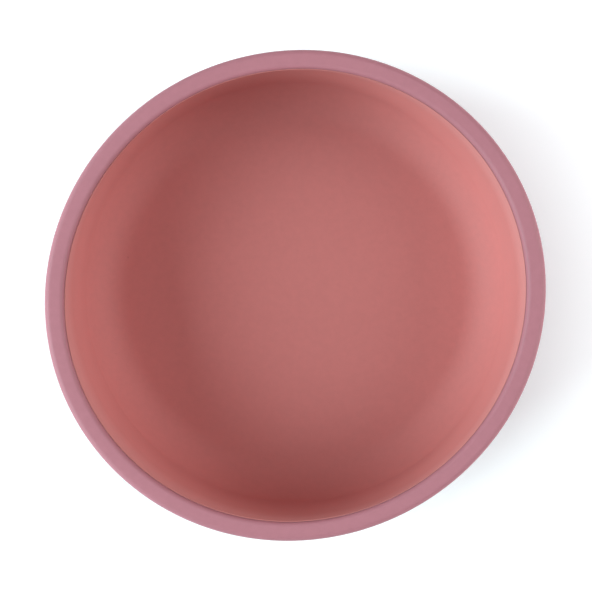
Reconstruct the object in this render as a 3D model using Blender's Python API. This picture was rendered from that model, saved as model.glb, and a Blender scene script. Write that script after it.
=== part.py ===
"""Suction feeding bowl for a baby: a thick-rimmed silicone body that stands on a suction foot, with
a separate liner that nests inside it and lifts out.

Run it with blender --background --python part.py, or from Blender's text editor. Units are metres,
+Z is up, and the origin is the centre of the suction foot, on the table.

The turned pieces are outlines in the (r, z) plane, carried round the Z axis by a Screw modifier.
Each outline runs down the piece's outer side from top to bottom, so that its faces point outwards.
"""

from math import cos, degrees, radians, sin, tan

import bmesh
import bpy

MM = 0.001
GAP = 0.3 * MM  # clearance between two pieces that touch on the real bowl

# Driving dimensions.
RIM_RADIUS = 65.0 * MM  # where the outer wall would meet the plane of the rim's top
RIM_WIDTH = 5.2 * MM
BOWL_HEIGHT = 53.0 * MM  # table to the top of the rim
FOOT_HEIGHT = 8.0 * MM  # table to the underside of the shell
WALL_LEAN = radians(3.0)  # from vertical, opening upwards
SHELL_FLOOR = 4.0 * MM
LINER_THICKNESS = 2.0 * MM
LINER_CORNER = 11.2 * MM  # radius between the liner's floor and its wall, on the food side

# The rim's rounded edges, and how far the liner's lip sits below the rim.
RIM_OUTER_ROUND = 1.5 * MM
RIM_INNER_ROUND = 1.5 * MM
LIP_DROP = 0.8 * MM
LIP_OUTER_ROUND = 0.45 * MM
LIP_INNER_ROUND = 1.3 * MM

# The suction cup's stud, which is pushed through the shell's floor.
STUD_RADIUS = 6.0 * MM
STUD_HEAD_RADIUS = 9.2 * MM
STUD_WEB = 1.7 * MM  # thickness of shell floor gripped between the cup and the stud's head
STUD_HEAD_THICKNESS = 1.7 * MM

# The suction cup is a thin dome, and the skirt round it is the part that seals on the table.
CUP_HUB_RADIUS = 30.0 * MM
CUP_RADIUS = 41.2 * MM
CUP_EDGE_TOP = 4.9 * MM
CUP_THICKNESS = 1.9 * MM
CUP_HOLLOW_RADIUS = 20.0 * MM
CUP_HOLLOW_TOP = 5.4 * MM
SKIRT_RADIUS = 50.0 * MM
SKIRT_EDGE_THICKNESS = 0.9 * MM
SKIRT_LAND = 3.4 * MM  # width of the flat ring that rests on the table
SKIRT_INNER_BOTTOM = 3.0 * MM

# The release tab, at the front of the skirt.
TAB_WIDTH = 17.0 * MM
TAB_LENGTH = 11.5 * MM
TAB_THICKNESS = 1.6 * MM
TAB_BOTTOM = 0.8 * MM
TAB_EDGE_ROUND = 0.4 * MM
TAB_RIBS = 3
TAB_RIB_SPACING = 2.4 * MM
TAB_RIB_LENGTH = 9.4 * MM
TAB_RIB_SIZE = 0.9 * MM  # square section, half sunk into the tab

SEGMENTS = 72  # facets round the axis
EDGE_STEPS = 3  # facets on a small rounded edge
CORNER_STEPS = 6  # facets on a large rounded corner
MERGE = 1e-5

# Linear RGB of the two silicones.
MAUVE = (0.46, 0.19, 0.23)
CORAL = (0.58, 0.20, 0.18)


def arc(centre, radius, start, end, steps):
    """Points from angle start to angle end, in degrees anticlockwise from +r, both ends included."""
    angles = [radians(start + (end - start) * i / steps) for i in range(steps + 1)]
    return [(centre[0] + radius * cos(a), centre[1] + radius * sin(a)) for a in angles]


def wall_radius(top_radius, height):
    """Radius at a height of a leaning wall that would meet the plane of the rim at top_radius."""
    return top_radius - (BOWL_HEIGHT - height) * tan(WALL_LEAN)


def inside_centre(top_radius, height, radius):
    """Centre of an arc at this height that touches the leaning wall from the axis side."""
    return wall_radius(top_radius, height) - radius / cos(WALL_LEAN), height


def outside_centre(top_radius, height, radius):
    """Centre of an arc at this height that touches the leaning wall from the far side."""
    return wall_radius(top_radius, height) + radius / cos(WALL_LEAN), height


def silicone(name, colour, roughness):
    """A plain silicone finish."""
    material = bpy.data.materials.new(name)
    material.use_nodes = True
    shader = material.node_tree.nodes["Principled BSDF"]
    shader.inputs["Base Color"].default_value = (*colour, 1.0)
    shader.inputs["Roughness"].default_value = roughness
    shader.inputs["Metallic"].default_value = 0.0
    return material


def add_object(name, mesh, material):
    """Links a mesh to the scene as a named object with one material."""
    obj = bpy.data.objects.new(name, mesh)
    obj.data.materials.append(material)
    bpy.context.scene.collection.objects.link(obj)
    return obj


def turned(name, outline, material):
    """A solid of revolution. The outline closes on itself unless both of its ends are on the axis."""
    mesh = bpy.data.meshes.new(name)
    edges = [(i, i + 1) for i in range(len(outline) - 1)]
    on_axis = outline[0][0] == 0.0 and outline[-1][0] == 0.0
    if not on_axis:
        edges.append((len(outline) - 1, 0))
    mesh.from_pydata([(r, 0.0, z) for r, z in outline], edges, [])
    obj = add_object(name, mesh, material)
    screw = obj.modifiers.new("turn", "SCREW")
    screw.steps = SEGMENTS
    screw.render_steps = SEGMENTS
    screw.use_merge_vertices = True
    screw.merge_threshold = MERGE
    screw.use_smooth_shade = True
    return obj


def outer_shell(material):
    """The soft body: a thick flat rim, a leaning wall, and a floor with the stud's hole and recess."""
    lean = degrees(WALL_LEAN)
    inner_top = RIM_RADIUS - RIM_WIDTH
    floor_top = FOOT_HEIGHT + SHELL_FLOOR
    inner_corner = LINER_CORNER + LINER_THICKNESS + GAP
    outer_corner = inner_corner + SHELL_FLOOR
    hole = STUD_RADIUS + GAP
    recess = STUD_HEAD_RADIUS + GAP
    ledge = FOOT_HEIGHT + STUD_WEB

    rim_outer = inside_centre(RIM_RADIUS, BOWL_HEIGHT - RIM_OUTER_ROUND, RIM_OUTER_ROUND)
    foot_corner = inside_centre(RIM_RADIUS, FOOT_HEIGHT + outer_corner, outer_corner)
    floor_corner = inside_centre(inner_top, floor_top + inner_corner, inner_corner)
    rim_inner = outside_centre(inner_top, BOWL_HEIGHT - RIM_INNER_ROUND, RIM_INNER_ROUND)

    outline = arc(rim_outer, RIM_OUTER_ROUND, 90, -lean, EDGE_STEPS)
    outline += arc(foot_corner, outer_corner, -lean, -90, CORNER_STEPS)
    outline += [(hole, FOOT_HEIGHT), (hole, ledge), (recess, ledge), (recess, floor_top)]
    outline += arc(floor_corner, inner_corner, -90, -lean, CORNER_STEPS)
    outline += arc(rim_inner, RIM_INNER_ROUND, 180 - lean, 90, EDGE_STEPS)
    return turned("outer_shell", outline, material)


def inner_bowl(material):
    """The liner that holds the food. It nests in the shell, its lip just below the shell's rim."""
    lean = degrees(WALL_LEAN)
    outer_top = RIM_RADIUS - RIM_WIDTH - GAP / cos(WALL_LEAN)
    inner_top = outer_top - LINER_THICKNESS / cos(WALL_LEAN)
    lip_height = BOWL_HEIGHT - LIP_DROP
    underside = FOOT_HEIGHT + SHELL_FLOOR + GAP
    floor_top = underside + LINER_THICKNESS
    outer_corner = LINER_CORNER + LINER_THICKNESS

    floor_corner = inside_centre(inner_top, floor_top + LINER_CORNER, LINER_CORNER)
    lip_inner = outside_centre(inner_top, lip_height - LIP_INNER_ROUND, LIP_INNER_ROUND)
    lip_outer = inside_centre(outer_top, lip_height - LIP_OUTER_ROUND, LIP_OUTER_ROUND)
    under_corner = inside_centre(outer_top, underside + outer_corner, outer_corner)

    outline = [(0.0, floor_top)]
    outline += arc(floor_corner, LINER_CORNER, -90, -lean, CORNER_STEPS)
    outline += arc(lip_inner, LIP_INNER_ROUND, 180 - lean, 90, EDGE_STEPS)
    outline += arc(lip_outer, LIP_OUTER_ROUND, 90, -lean, EDGE_STEPS)
    outline += arc(under_corner, outer_corner, -lean, -90, CORNER_STEPS)
    outline += [(0.0, underside)]
    return turned("inner_bowl", outline, material)


def suction_cup(material):
    """The dome that makes the suction, with the mushroom stud that holds it to the shell."""
    top = FOOT_HEIGHT - GAP
    head_bottom = FOOT_HEIGHT + STUD_WEB + GAP
    head_top = head_bottom + STUD_HEAD_THICKNESS
    outline = [
        (0.0, head_top),
        (STUD_HEAD_RADIUS, head_top),
        (STUD_HEAD_RADIUS, head_bottom),
        (STUD_RADIUS, head_bottom),
        (STUD_RADIUS, top),
        (CUP_HUB_RADIUS, top),
        (CUP_RADIUS, CUP_EDGE_TOP),
        (CUP_RADIUS, CUP_EDGE_TOP - CUP_THICKNESS),
        (CUP_HOLLOW_RADIUS, CUP_HOLLOW_TOP),
        (0.0, CUP_HOLLOW_TOP),
    ]
    return turned("suction_cup", outline, material)


def suction_skirt(material):
    """The thin flared ring round the cup. Its flat land is what grips the table."""
    inner = CUP_RADIUS + GAP
    land_inner = SKIRT_RADIUS - SKIRT_LAND
    outline = [
        (inner, CUP_EDGE_TOP),
        (SKIRT_RADIUS - SKIRT_LAND / 2, SKIRT_EDGE_THICKNESS + GAP),
        (SKIRT_RADIUS, SKIRT_EDGE_THICKNESS),
        (SKIRT_RADIUS, 0.0),
        (land_inner, 0.0),
        (inner, SKIRT_INNER_BOTTOM),
    ]
    return turned("suction_skirt", outline, material)


def rib(name, y):
    """A low bar across the tab, half sunk into its top face, for a finger to grip."""
    mesh = bpy.data.meshes.new(name)
    bm = bmesh.new()
    bmesh.ops.create_cube(bm, size=1.0)
    bmesh.ops.scale(bm, vec=(TAB_RIB_LENGTH, TAB_RIB_SIZE, TAB_RIB_SIZE), verts=bm.verts)
    bmesh.ops.translate(bm, vec=(0.0, y, 0.0), verts=bm.verts)
    bm.to_mesh(mesh)
    bm.free()
    obj = bpy.data.objects.new(name, mesh)
    obj.display_type = "WIRE"
    obj.hide_render = True
    bpy.context.scene.collection.objects.link(obj)
    return obj


def release_tab(material):
    """A round-ended tab that is lifted to let air under the skirt. Its origin is on its hinge line."""
    half = TAB_WIDTH / 2
    straight = TAB_LENGTH - half
    ends = arc((0.0, -straight), half, 180, 360, 2 * CORNER_STEPS)
    outline = [(-half, 0.0), *ends, (half, 0.0)]

    bm = bmesh.new()
    corners = [bm.verts.new((x, y, -TAB_THICKNESS)) for x, y in outline]
    base = bm.faces.new(corners)
    lifted = bmesh.ops.extrude_face_region(bm, geom=[base])
    moved = [item for item in lifted["geom"] if isinstance(item, bmesh.types.BMVert)]
    bmesh.ops.translate(bm, vec=(0.0, 0.0, TAB_THICKNESS), verts=moved)
    bmesh.ops.recalc_face_normals(bm, faces=bm.faces)
    mesh = bpy.data.meshes.new("release_tab")
    bm.to_mesh(mesh)
    bm.free()

    tab = add_object("release_tab", mesh, material)
    bevel = tab.modifiers.new("rounded_edges", "BEVEL")
    bevel.width = TAB_EDGE_ROUND
    bevel.segments = 2
    bevel.limit_method = "ANGLE"
    bevel.angle_limit = radians(60)
    for i in range(TAB_RIBS):
        bar = rib(f"tab_rib_{i + 1}", half / 2 - TAB_LENGTH + i * TAB_RIB_SPACING)
        bar.parent = tab
        union = tab.modifiers.new(f"rib_{i + 1}", "BOOLEAN")
        union.operation = "UNION"
        union.object = bar
    tab.location = (0.0, -(SKIRT_RADIUS + GAP), TAB_BOTTOM + TAB_THICKNESS)
    return tab


def main():
    for obj in list(bpy.data.objects):
        bpy.data.objects.remove(obj)
    mauve = silicone("mauve_silicone", MAUVE, 0.55)
    coral = silicone("coral_silicone", CORAL, 0.5)
    outer_shell(mauve)
    inner_bowl(coral)
    suction_cup(mauve)
    suction_skirt(mauve)
    release_tab(mauve)


main()
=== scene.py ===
"""Looks of the silicone suction bowl: fine meshes, silicone materials, studio light and camera.

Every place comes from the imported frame, in metres, with +Z up and the bowl's axis on Z. A turned
piece is an outline in the (r, z) plane. The outline runs down the piece's outer side, and each of
its corners has its own radius.
"""

from math import ceil, cos, pi, radians, sin, sqrt, tan

import bmesh
import bpy
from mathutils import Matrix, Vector


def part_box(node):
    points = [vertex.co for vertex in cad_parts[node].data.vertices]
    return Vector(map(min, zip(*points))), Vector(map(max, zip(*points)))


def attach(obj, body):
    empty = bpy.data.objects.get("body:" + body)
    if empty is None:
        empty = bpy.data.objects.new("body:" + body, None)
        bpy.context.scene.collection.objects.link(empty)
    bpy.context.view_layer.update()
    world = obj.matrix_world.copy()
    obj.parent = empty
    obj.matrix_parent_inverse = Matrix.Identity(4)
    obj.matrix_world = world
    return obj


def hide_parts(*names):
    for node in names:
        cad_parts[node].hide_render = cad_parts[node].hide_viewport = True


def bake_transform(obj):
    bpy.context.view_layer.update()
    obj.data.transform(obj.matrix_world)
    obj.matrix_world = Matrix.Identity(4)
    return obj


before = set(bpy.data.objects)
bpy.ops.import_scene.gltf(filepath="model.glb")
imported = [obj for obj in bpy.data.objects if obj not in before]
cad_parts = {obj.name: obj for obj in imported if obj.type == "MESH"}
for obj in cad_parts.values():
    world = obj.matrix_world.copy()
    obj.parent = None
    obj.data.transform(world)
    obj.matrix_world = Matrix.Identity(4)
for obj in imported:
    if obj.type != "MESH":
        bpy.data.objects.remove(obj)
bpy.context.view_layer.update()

MM = 0.001
LIP_SINK = 0.5 * MM  # the liner's fine lip ends lower than the blunt lip of its solid

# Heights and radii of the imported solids.
SHELL_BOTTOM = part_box("outer_shell")[0].z
RIM_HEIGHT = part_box("outer_shell")[1].z
LINER_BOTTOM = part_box("inner_bowl")[0].z
LIP_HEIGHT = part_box("inner_bowl")[1].z - LIP_SINK
HEAD_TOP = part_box("suction_cup")[1].z
CUP_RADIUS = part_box("suction_cup")[1].x
CUP_EDGE_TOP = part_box("suction_skirt")[1].z
SKIRT_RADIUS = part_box("suction_skirt")[1].x
TAB_HALF_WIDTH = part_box("release_tab")[1].x
TAB_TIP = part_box("release_tab")[0].y
TAB_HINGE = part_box("release_tab")[1].y
TAB_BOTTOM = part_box("release_tab")[0].z

# The rim and the wall.
RIM_RADIUS = 65.0 * MM  # where the outer wall would meet the plane of the rim's top
RIM_WIDTH = 5.03 * MM
RIM_OUTER_ROUND = 1.5 * MM
RIM_INNER_ROUND = 1.35 * MM
WALL_LEAN = radians(3.0)  # from vertical, opening upwards
SHELL_FLOOR = 4.0 * MM
LINER_THICKNESS = 2.0 * MM
LINER_THICKNESS_TOP = 0.55 * MM  # the liner's wall gets this thin just below its lip
LINER_CORNER = 11.2 * MM  # radius between the liner's floor and its wall, on the food side
LIP_ROUND = 0.03 * MM
FLARE_DEPTH = 5.5 * MM  # how far down the liner's wall starts to curve out towards its lip
FLARE_STEPS = 16
LIP_INSET = 0.07 * MM  # of the lip's edge from where its outer wall would meet the rim's plane
SEAM_DEPTH = 0.3 * MM  # of the groove between the lip and the shell
SEAM_FOOT_GAP = 0.015 * MM  # between the liner and the shell at the groove's bottom
CONTACT_GAP = 0.06 * MM  # elsewhere, pieces that touch are kept this far apart, and so is the floor

# The rim is soft. It has gone a little out of round, and off the bowl's axis.
OVAL = 0.018  # as a part of the rim's radius
OVAL_DIRECTION = radians(28)  # the long way of the oval, from +X
RIM_SHIFT = Vector((0.12 * MM, -0.92 * MM))
SLACK_DEPTH = 10.0 * MM  # how far below the lip the wall's inner side starts to follow the rim

# The stud that holds the suction foot, and the hole and recess it sits in.
STUD_RADIUS = 6.0 * MM
HEAD_RADIUS = 9.2 * MM
HEAD_THICKNESS = 1.7 * MM
HOLE_CLEARANCE = 0.15 * MM
HOLE_ROUND = 0.3 * MM
HEAD_ROUND = 0.7 * MM
STUD_ROUND = 0.2 * MM

# The suction foot.
HUB_RADIUS = 30.0 * MM
SKIRT_LIP = 0.9 * MM
SKIRT_SLOPE = 0.3 * MM  # from its edge, the skirt rises by this much to the middle of the land
SKIRT_LAND = 3.4 * MM
CUP_EDGE_BOTTOM = 3.0 * MM
HOLLOW_RADIUS = 20.0 * MM
HOLLOW_TOP = 5.4 * MM

# Radii of the suction foot's bends, from its hub round to its hollow.
HUB_BEND = 12.0 * MM
DOME_BEND = 20.0 * MM
SKIRT_BEND = 3.0 * MM
SKIRT_ROUND_TOP = 0.4 * MM
SKIRT_ROUND_BOTTOM = 0.35 * MM
LAND_BEND = 4.0 * MM
UNDER_BEND = 10.0 * MM
HOLLOW_BEND = 20.0 * MM

# The release tab.
TAB_THICKNESS = 1.6 * MM
TAB_ROOT = -45.0 * MM  # the end that is buried in the skirt
TAB_ROOT_RISE = 0.56  # slope of the buried end's underside, the same as the skirt's
TAB_ROOT_DROP = 0.3  # slope of its top, into the skirt
TAB_FLARE = 3.5 * MM
TAB_RIBS = 3
TAB_RIB_SPACING = 2.4 * MM
TAB_RIB_HEIGHT = 0.45 * MM
TAB_RIB_HALF_LENGTH = 4.9 * MM
TAB_RIB_SHARE = 0.45  # half the width of a rib, as a part of the spacing
TAB_TIP_ROUND = 0.8 * MM
TAB_TIP_MARGIN = 0.01 * MM  # the last section stops this short of the tip
TAB_NARROWEST = 0.02 * MM  # half width of the flat at the tip

# How finely the meshes are made.
ON_AXIS = 1e-9  # a point nearer the axis than this is on it
SEGMENTS = 320  # round the axis
ARC_STEP = radians(5)  # turn per facet on a rounded corner
LONGEST_SIDE = 1.5 * MM  # of a facet along an outline
TAB_SECTIONS = 90
TAB_STEPS_ACROSS = 24
TAB_CAP_STEPS = 10

# Silicone finish.
SILICONE_IOR = 1.41
DIFFUSE_ROUGHNESS = 0.2
SPECULAR = 0.4
SHELL_ROUGHNESS = 0.55
LINER_ROUGHNESS = 0.65
ROUGHNESS_SPREAD = 0.04
NOISE_RANGE = (0.3, 0.7)  # most of a noise texture's values are in here
CLOUD_SCALE = 35.0  # features per metre, as are the other scales
CLOUD_DEPTH = 0.012
MOTTLE_SCALE = 600.0
MOTTLE_DEPTH = 0.022
WAVE_SCALE = 90.0
WAVE_DEPTH = 0.02 * MM
GRAIN_SCALE = 3200.0
GRAIN_DEPTH = 0.02 * MM
DUST_SCALE = 60.0
DUST_SIZE = 0.01  # of a speck, as a part of a cell of the dust texture
DUST_DARK = 0.85  # of the clean tone, in a speck's middle
# Painted light: white is added to the liner's colour near its lip, standing in for the extra light its
# flared lip catches.
LIP_LIGHT_START = 8.0 * MM  # the liner gets paler from this far below its lip
LIP_LIGHT_END = 2.0 * MM  # and is palest from here up
LIP_LIGHT_WHITE = 0.035
SHELL_COLOUR = (0.466, 0.175, 0.209)
LINER_COLOUR = (0.585, 0.189, 0.177)
FOOT_COLOUR = (0.455, 0.176, 0.21)

# The floor and the softboxes. The floor glows as painted light, and its glow is lower near the bowl,
# which paints shade into the soft shadow there.
FLOOR_SIZE = 3.0
# The floor's colour and its glow are tinted blue, which paints a cool tint into that shadow.
FLOOR_COLOUR = (0.88, 0.9, 0.9, 1.0)
FLOOR_ROUGHNESS = 0.7
GLOW_COLOUR = (0.92, 0.95, 0.975, 1.0)
# The glow is measured from this centre, off to the lower right of the bowl, so the painted shade is
# deepest there.
GLOW_CENTRE = (2.5 * MM, -4.0 * MM, 0.0)
# Painted shade: the glow rises from low next to the bowl to high further out.
GLOW_NEAR = 66 * MM
GLOW_FAR = 88 * MM
GLOW_LOW = 0.2
GLOW_HIGH = 0.5
HORIZON_NEAR = 150 * MM  # from here outwards the glow makes up for the softboxes' falling light
HORIZON_FAR = 900 * MM
HORIZON_GLOW = 0.65
SOFTBOX_DISTANCE = 1.2

# The camera looks straight down.
SENSOR_WIDTH = 36.0
CAMERA_DISTANCE = 0.8
CAMERA_SPAN = 154.63 * MM  # width of the picture in the plane of the rim
CAMERA_TARGET = (0.3 * MM, -1.08 * MM)  # the place in x and y that it looks at


def rounded(corners, closed):
    """The outline through corners (r, z, radius), each corner rounded with its own radius."""
    count = len(corners)
    outline = []
    for i, (r, z, radius) in enumerate(corners):
        corner = Vector((r, z))
        at_end = not closed and i in (0, count - 1)
        if radius == 0.0 or at_end:
            outline.append(corner)
            continue
        before = (Vector(corners[i - 1][:2]) - corner).normalized()
        after = (Vector(corners[(i + 1) % count][:2]) - corner).normalized()
        half = before.angle(after) / 2
        centre = corner + (before + after).normalized() * radius / sin(half)
        start = corner + before * radius / tan(half) - centre
        turn = pi - 2 * half
        if before.cross(after) > 0:
            turn = -turn
        steps = max(2, ceil(abs(turn) / ARC_STEP))
        for step in range(steps + 1):
            c, s = cos(turn * step / steps), sin(turn * step / steps)
            outline.append(centre + Vector((start.x * c - start.y * s, start.x * s + start.y * c)))
    return outline


def subdivided(outline, closed):
    """The outline with points added along its straight stretches."""
    ends = outline[1:] + outline[:1] if closed else outline[1:]
    result = [] if closed else [outline[0]]
    for start, end in zip(outline, ends):
        count = max(1, ceil((end - start).length / LONGEST_SIDE))
        result += [start.lerp(end, i / count) for i in range(1, count + 1)]
    return result


def turned(name, corners, material):
    """A solid of revolution. Its outline closes on itself unless it starts on the axis."""
    closed = corners[0][0] > 0.0
    outline = subdivided(rounded(corners, closed), closed)
    bm = bmesh.new()
    rings = []
    for r, z in outline:
        if r < ON_AXIS:
            rings.append([bm.verts.new((0.0, 0.0, z))])
            continue
        turn = [2 * pi * i / SEGMENTS for i in range(SEGMENTS)]
        rings.append([bm.verts.new((r * cos(a), r * sin(a), z)) for a in turn])
    lower_rings = rings[1:] + rings[:1] if closed else rings[1:]
    for upper, lower in zip(rings, lower_rings):
        for i in range(SEGMENTS):
            j = (i + 1) % SEGMENTS
            if len(upper) == 1:
                bm.faces.new((upper[0], lower[i], lower[j]))
            elif len(lower) == 1:
                bm.faces.new((upper[i], lower[0], upper[j]))
            else:
                bm.faces.new((upper[i], lower[i], lower[j], upper[j]))
    return added(name, bm, material)


def added(name, bm, material):
    """Turns a bmesh into a smooth-shaded object in the scene, with one material."""
    mesh = bpy.data.meshes.new(name)
    bm.to_mesh(mesh)
    bm.free()
    mesh.shade_smooth()
    mesh.materials.append(material)
    obj = bpy.data.objects.new(name, mesh)
    bpy.context.scene.collection.objects.link(obj)
    return obj


def clamped(value):
    """The value, kept between 0 and 1."""
    return min(max(value, 0.0), 1.0)


def wall_radius(top_radius, height):
    """Radius at a height of a leaning wall that would meet the plane of the rim at top_radius."""
    return top_radius - (RIM_HEIGHT - height) * tan(WALL_LEAN)


def slack(r, z):
    """How far a place on a wall follows the rim out of round: 1 at the rim, and 0 low down.

    The outer side follows over its whole height, and the inner side only near the lip.
    """
    if r > wall_radius(RIM_RADIUS - RIM_WIDTH / 2, z):
        part = clamped((z - SHELL_BOTTOM) / (RIM_HEIGHT - SHELL_BOTTOM))
        return part ** 2 * (3 - 2 * part)
    return clamped((z - LIP_HEIGHT + SLACK_DEPTH) / SLACK_DEPTH) ** 2


def deform_rim(obj):
    """Brings the top of the walls out of round and off the axis."""
    along = Vector((cos(OVAL_DIRECTION), sin(OVAL_DIRECTION)))
    for vertex in obj.data.vertices:
        flat = vertex.co.xy
        lengthwise = along * flat.dot(along)
        crosswise = flat - lengthwise
        shift = OVAL * (lengthwise - crosswise) + RIM_SHIFT
        vertex.co.xy = flat + shift * slack(flat.length, vertex.co.z)


def build_shell(material):
    """The soft body: a thick flat rim, a leaning wall, and a floor with the stud's hole and recess."""
    inner_top = RIM_RADIUS - RIM_WIDTH
    floor_top = SHELL_BOTTOM + SHELL_FLOOR
    inner_corner = LINER_CORNER + LINER_THICKNESS
    outer_corner = inner_corner + SHELL_FLOOR
    ledge = HEAD_TOP - HEAD_THICKNESS - HOLE_CLEARANCE
    hole = STUD_RADIUS + HOLE_CLEARANCE
    recess = HEAD_RADIUS + HOLE_CLEARANCE
    corners = [
        (RIM_RADIUS, RIM_HEIGHT, RIM_OUTER_ROUND),
        (wall_radius(RIM_RADIUS, SHELL_BOTTOM), SHELL_BOTTOM, outer_corner),
        (hole, SHELL_BOTTOM, HOLE_ROUND),
        (hole, ledge, 0.0),
        (recess, ledge, 0.0),
        (recess, floor_top, HOLE_ROUND),
        (wall_radius(inner_top, floor_top), floor_top, inner_corner),
        (inner_top, RIM_HEIGHT, RIM_INNER_ROUND),
    ]
    shell = turned("outer_shell_soft", corners, material)
    deform_rim(shell)
    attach(shell, "bowl")
    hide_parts("outer_shell")


def build_liner(material):
    """The liner that holds the food. Its wall thins and curves outwards to a fine lip."""
    outer_top = RIM_RADIUS - RIM_WIDTH - CONTACT_GAP
    inner_top = outer_top - LINER_THICKNESS_TOP
    inner_low = outer_top - LINER_THICKNESS / cos(WALL_LEAN)
    floor_top = LINER_BOTTOM + LINER_THICKNESS
    groove = LIP_HEIGHT - SEAM_DEPTH
    groove_radius = RIM_RADIUS - RIM_WIDTH - SEAM_FOOT_GAP
    reach = LINER_THICKNESS_TOP - LIP_INSET - 2 * LIP_ROUND
    flare = []
    for i in range(FLARE_STEPS + 1):
        part = i / FLARE_STEPS
        z = LIP_HEIGHT - FLARE_DEPTH * (1 - part)
        flare.append((wall_radius(inner_top, z) + reach * part ** 2, z, 0.0))
    corners = [
        (0.0, floor_top, 0.0),
        (wall_radius(inner_low, floor_top), floor_top, LINER_CORNER),
        *flare,
        (outer_top - LIP_INSET, LIP_HEIGHT, LIP_ROUND),
        (wall_radius(groove_radius, groove), groove, 0.0),
        (wall_radius(outer_top, LINER_BOTTOM), LINER_BOTTOM, LINER_CORNER + LINER_THICKNESS),
        (0.0, LINER_BOTTOM, 0.0),
    ]
    liner = turned("inner_bowl_soft", corners, material)
    deform_rim(liner)
    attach(liner, "liner")
    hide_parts("inner_bowl")


def build_foot(material):
    """The suction foot as one soft moulding: stud, dome and skirt."""
    head_bottom = HEAD_TOP - HEAD_THICKNESS
    hub_top = SHELL_BOTTOM - CONTACT_GAP
    corners = [
        (0.0, HEAD_TOP, 0.0),
        (HEAD_RADIUS, HEAD_TOP, HEAD_ROUND),
        (HEAD_RADIUS, head_bottom, HOLE_ROUND),
        (STUD_RADIUS, head_bottom, STUD_ROUND),
        (STUD_RADIUS, hub_top, HOLE_ROUND),
        (HUB_RADIUS, hub_top, HUB_BEND),
        (CUP_RADIUS, CUP_EDGE_TOP, DOME_BEND),
        (SKIRT_RADIUS - SKIRT_LAND / 2, SKIRT_LIP + SKIRT_SLOPE, SKIRT_BEND),
        (SKIRT_RADIUS, SKIRT_LIP, SKIRT_ROUND_TOP),
        (SKIRT_RADIUS, 0.0, SKIRT_ROUND_BOTTOM),
        (SKIRT_RADIUS - SKIRT_LAND, 0.0, LAND_BEND),
        (CUP_RADIUS, CUP_EDGE_BOTTOM, UNDER_BEND),
        (HOLLOW_RADIUS, HOLLOW_TOP, HOLLOW_BEND),
        (0.0, HOLLOW_TOP, 0.0),
    ]
    foot = turned("suction_foot_soft", corners, material)
    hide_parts("suction_cup", "suction_skirt")
    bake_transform(foot)


def tab_section(y):
    """Half width, underside and top of the tab at a place along its length."""
    straight_end = TAB_TIP + TAB_HALF_WIDTH
    half_width = TAB_HALF_WIDTH
    if y < straight_end:
        half_width *= sqrt(max(0.0, 1 - ((straight_end - y) / TAB_HALF_WIDTH) ** 2))
    if y > TAB_HINGE - TAB_FLARE:
        half_width += (min(y, TAB_HINGE) - TAB_HINGE + TAB_FLARE) ** 2 / (2 * TAB_FLARE)
    buried = max(0.0, y + SKIRT_RADIUS - SKIRT_LAND)
    low = TAB_BOTTOM + TAB_ROOT_RISE * buried
    high = TAB_BOTTOM + TAB_THICKNESS - TAB_ROOT_DROP * buried
    edge = max(0.0, 1 - (y - TAB_TIP) / TAB_TIP_ROUND)
    squeeze = TAB_THICKNESS / 2 * (1 - sqrt(max(0.0, 1 - edge * edge)))
    rib = 0.0
    for i in range(TAB_RIBS):
        middle = TAB_TIP + TAB_HALF_WIDTH / 2 + i * TAB_RIB_SPACING
        away = abs(y - middle) / (TAB_RIB_SHARE * TAB_RIB_SPACING)
        if away < 1:
            rib = TAB_RIB_HEIGHT * cos(away * pi / 2) ** 2
    return half_width, low + squeeze, high - squeeze, rib


def tab_loop(half_width, low, high, rib):
    """A section across the tab: flat below, rounded at the sides, and ribbed on top."""
    cap = (high - low) / 2
    flat = max(half_width - cap, TAB_NARROWEST)
    middle = (high + low) / 2
    loop = []
    for i in range(TAB_STEPS_ACROSS + 1):
        x = flat * (1 - 2 * i / TAB_STEPS_ACROSS)
        fade = max(0.0, 1 - (x / TAB_RIB_HALF_LENGTH) ** 4)
        loop.append((x, high + rib * fade))
    for i in range(1, TAB_CAP_STEPS):
        a = pi / 2 + pi * i / TAB_CAP_STEPS
        loop.append((cap * cos(a) - flat, middle + cap * sin(a)))
    for i in range(TAB_STEPS_ACROSS + 1):
        loop.append((flat * (2 * i / TAB_STEPS_ACROSS - 1), low))
    for i in range(1, TAB_CAP_STEPS):
        a = -pi / 2 + pi * i / TAB_CAP_STEPS
        loop.append((cap * cos(a) + flat, middle + cap * sin(a)))
    return loop


def build_tab(material):
    """The ribbed release tab, lofted from its root in the skirt to its round tip."""
    bm = bmesh.new()
    reach = TAB_TIP + TAB_TIP_MARGIN - TAB_ROOT
    loops = []
    for i in range(TAB_SECTIONS + 1):
        y = TAB_ROOT + reach * sin(pi / 2 * i / TAB_SECTIONS)
        loops.append([bm.verts.new((x, y, z)) for x, z in tab_loop(*tab_section(y))])
    count = len(loops[0])
    for nearer, farther in zip(loops, loops[1:]):
        for k in range(count):
            m = (k + 1) % count
            bm.faces.new((nearer[k], farther[k], farther[m], nearer[m]))
    bm.faces.new(loops[0])
    bm.faces.new(reversed(loops[-1]))
    bmesh.ops.recalc_face_normals(bm, faces=bm.faces)
    tab = added("release_tab_soft", bm, material)
    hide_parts("release_tab")
    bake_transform(tab)


def node(tree, kind, **inputs):
    """A new shader node, with values for its inputs by name (spaces written as _)."""
    made = tree.nodes.new(kind)
    for name, value in inputs.items():
        made.inputs[name.replace("_", " ")].default_value = value
    return made


def ramp(tree, value, start, end, low, high):
    """Maps start..end to low..high, and holds the values outside at low and high."""
    mapped = node(tree, "ShaderNodeMapRange", From_Min=start, From_Max=end, To_Min=low, To_Max=high)
    tree.links.new(value, mapped.inputs["Value"])
    return mapped.outputs["Result"]


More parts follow.
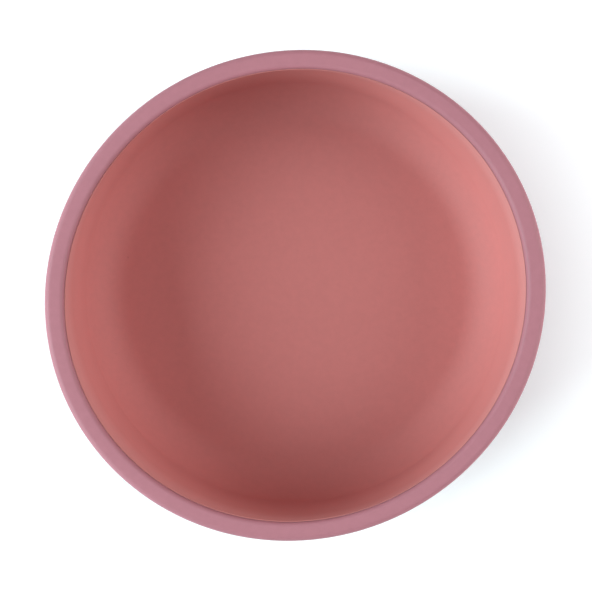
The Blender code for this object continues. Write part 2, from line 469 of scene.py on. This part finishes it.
def varied(tree, noise, middle, spread):
    """A value that wanders round a middle value as a noise texture does."""
    return ramp(tree, noise.outputs["Fac"], *NOISE_RANGE, middle - spread, middle + spread)


def combined(tree, operation, a, b):
    """The sum or the product of two values."""
    made = tree.nodes.new("ShaderNodeMath")
    made.operation = operation
    tree.links.new(a, made.inputs[0])
    tree.links.new(b, made.inputs[1])
    return made.outputs[0]


def silicone(name, colour, roughness, offset, paint_lip_light=False):
    """Satin silicone: a cloudy tint, fine moulded grain, and a few specks of dust.

    The offset moves the textures, so that no two pieces show the same pattern.
    """
    material = bpy.data.materials.new(name)
    material.use_nodes = True
    tree = material.node_tree
    link = tree.links.new
    shader = tree.nodes["Principled BSDF"]
    shader.inputs["IOR"].default_value = SILICONE_IOR
    shader.inputs["Diffuse Roughness"].default_value = DIFFUSE_ROUGHNESS
    shader.inputs["Specular IOR Level"].default_value = SPECULAR

    place = node(tree, "ShaderNodeMapping", Location=offset)
    link(tree.nodes.new("ShaderNodeTexCoord").outputs["Object"], place.inputs["Vector"])
    cloud = node(tree, "ShaderNodeTexNoise", Scale=CLOUD_SCALE, Detail=2.0)
    mottle = node(tree, "ShaderNodeTexNoise", Scale=MOTTLE_SCALE, Detail=3.0)
    grain = node(tree, "ShaderNodeTexNoise", Scale=GRAIN_SCALE, Detail=2.0)
    waves = node(tree, "ShaderNodeTexNoise", Scale=WAVE_SCALE, Detail=1.0)
    for texture in (cloud, mottle, grain, waves):
        link(place.outputs["Vector"], texture.inputs["Vector"])

    cloudy = varied(tree, cloud, 1.0, CLOUD_DEPTH)
    mottled = varied(tree, mottle, 1.0, MOTTLE_DEPTH)
    tone = combined(tree, "MULTIPLY", cloudy, mottled)
    tone = combined(tree, "MULTIPLY", tone, dust(tree, place.outputs["Vector"]))
    tint = node(tree, "ShaderNodeVectorMath")
    tint.operation = "SCALE"
    tint.inputs[0].default_value = colour
    link(tone, tint.inputs["Scale"])
    tinted = tint.outputs["Vector"]
    # Painted light: the liner's colour gets paler towards its lip.
    if paint_lip_light:
        tinted = painted_lip_light(tree, tinted)
    link(tinted, shader.inputs["Base Color"])
    link(varied(tree, mottle, roughness, ROUGHNESS_SPREAD), shader.inputs["Roughness"])

    soft = node(tree, "ShaderNodeBump", Strength=1.0, Distance=WAVE_DEPTH)
    fine = node(tree, "ShaderNodeBump", Strength=1.0, Distance=GRAIN_DEPTH)
    link(waves.outputs["Fac"], soft.inputs["Height"])
    link(grain.outputs["Fac"], fine.inputs["Height"])
    link(soft.outputs["Normal"], fine.inputs["Normal"])
    link(fine.outputs["Normal"], shader.inputs["Normal"])
    return material


def painted_lip_light(tree, colour):
    """The colour with a little white added towards the liner's lip, as painted light on its flared
    lip.
    """
    place = tree.nodes.new("ShaderNodeSeparateXYZ")
    tree.links.new(tree.nodes.new("ShaderNodeTexCoord").outputs["Object"], place.inputs["Vector"])
    start = LIP_HEIGHT - LIP_LIGHT_START
    end = LIP_HEIGHT - LIP_LIGHT_END
    white = ramp(tree, place.outputs["Z"], start, end, 0.0, LIP_LIGHT_WHITE)
    total = tree.nodes.new("ShaderNodeVectorMath")
    total.operation = "ADD"
    tree.links.new(colour, total.inputs[0])
    tree.links.new(white, total.inputs[1])
    return total.outputs["Vector"]


def dust(tree, place):
    """1 on clean silicone and less on a few scattered specks."""
    cells = node(tree, "ShaderNodeTexVoronoi", Scale=DUST_SCALE)
    tree.links.new(place, cells.inputs["Vector"])
    return ramp(tree, cells.outputs["Distance"], DUST_SIZE, 2 * DUST_SIZE, DUST_DARK, 1.0)


def build_floor():
    """A white floor that glows as painted light. Its glow is lower close to the bowl, which paints
    shade into the soft shadow that the softboxes cast there.
    """
    bm = bmesh.new()
    bmesh.ops.create_grid(bm, x_segments=1, y_segments=1, size=FLOOR_SIZE / 2)
    material = bpy.data.materials.new("glowing_floor")
    material.use_nodes = True
    tree = material.node_tree
    shader = tree.nodes["Principled BSDF"]
    shader.inputs["Base Color"].default_value = FLOOR_COLOUR
    shader.inputs["Roughness"].default_value = FLOOR_ROUGHNESS
    shader.inputs["Emission Color"].default_value = GLOW_COLOUR
    away = tree.nodes.new("ShaderNodeVectorMath")
    away.operation = "DISTANCE"
    away.inputs[1].default_value = GLOW_CENTRE
    tree.links.new(tree.nodes.new("ShaderNodeTexCoord").outputs["Object"], away.inputs[0])
    distance = away.outputs["Value"]
    # Painted shade: the glow is dimmest next to the bowl.
    glow_with_painted_shade = ramp(tree, distance, GLOW_NEAR, GLOW_FAR, GLOW_LOW, GLOW_HIGH)
    far_glow = ramp(tree, distance, HORIZON_NEAR, HORIZON_FAR, 0.0, HORIZON_GLOW)
    glow = combined(tree, "ADD", glow_with_painted_shade, far_glow)
    tree.links.new(glow, shader.inputs["Emission Strength"])
    floor = added("glowing_floor", bm, material)
    floor.location.z = -CONTACT_GAP


def build_softbox(name, azimuth, elevation, width, height, power, colour):
    """A softbox aimed at the bowl. Azimuth and elevation are in degrees, azimuth from +X."""
    data = bpy.data.lights.new(name, "AREA")
    data.shape = "RECTANGLE"
    data.size = width
    data.size_y = height
    data.energy = power
    data.color = colour
    light = bpy.data.objects.new(name, data)
    a, e = radians(azimuth), radians(elevation)
    away = Vector((cos(a) * cos(e), sin(a) * cos(e), sin(e)))
    light.location = away * SOFTBOX_DISTANCE
    light.rotation_mode = "QUATERNION"
    light.rotation_quaternion = away.to_track_quat("Z", "Y")
    light.visible_camera = False
    bpy.context.scene.collection.objects.link(light)


def build_world():
    """Pale walls that the camera sees, and no other light."""
    world = bpy.data.worlds.new("studio")
    world.use_nodes = True
    tree = world.node_tree
    tree.nodes["Background"].inputs["Color"].default_value = (1.0, 1.0, 1.0, 1.0)
    path = tree.nodes.new("ShaderNodeLightPath")
    tree.links.new(path.outputs["Is Camera Ray"], tree.nodes["Background"].inputs["Strength"])
    bpy.context.scene.world = world


def build_camera():
    """Looks straight down at the rim, with +Y up in the picture."""
    data = bpy.data.cameras.new("camera")
    data.sensor_width = SENSOR_WIDTH
    data.lens = data.sensor_width * CAMERA_DISTANCE / CAMERA_SPAN
    camera = bpy.data.objects.new("camera", data)
    camera.location = (*CAMERA_TARGET, RIM_HEIGHT + CAMERA_DISTANCE)
    bpy.context.scene.collection.objects.link(camera)
    bpy.context.scene.camera = camera


shell_silicone = silicone("mauve_silicone", SHELL_COLOUR, SHELL_ROUGHNESS, (0.0, 0.0, 0.0))
build_shell(shell_silicone)
# The liner gets painted light towards its lip.
liner_silicone = silicone("coral_silicone", LINER_COLOUR, LINER_ROUGHNESS, (0.31, 0.17, 0.0),
                          paint_lip_light=True)
build_liner(liner_silicone)
foot_silicone = silicone("foot_silicone", FOOT_COLOUR, SHELL_ROUGHNESS, (0.11, 0.43, 0.0))
build_foot(foot_silicone)
build_tab(foot_silicone)
build_floor()
build_softbox("key_softbox", azimuth=191, elevation=34, width=1.07, height=0.83,
              power=23.8, colour=(0.79, 1.0, 1.03))
build_softbox("fill_softbox", azimuth=3, elevation=32.5, width=0.7, height=1.0,
              power=13.0, colour=(0.9, 1.0, 1.01))
build_softbox("top_softbox", azimuth=70, elevation=72, width=1.2, height=1.2,
              power=2.1, colour=(0.95, 0.78, 0.76))
build_world()
build_camera()
bpy.context.scene.view_settings.view_transform = "Standard"
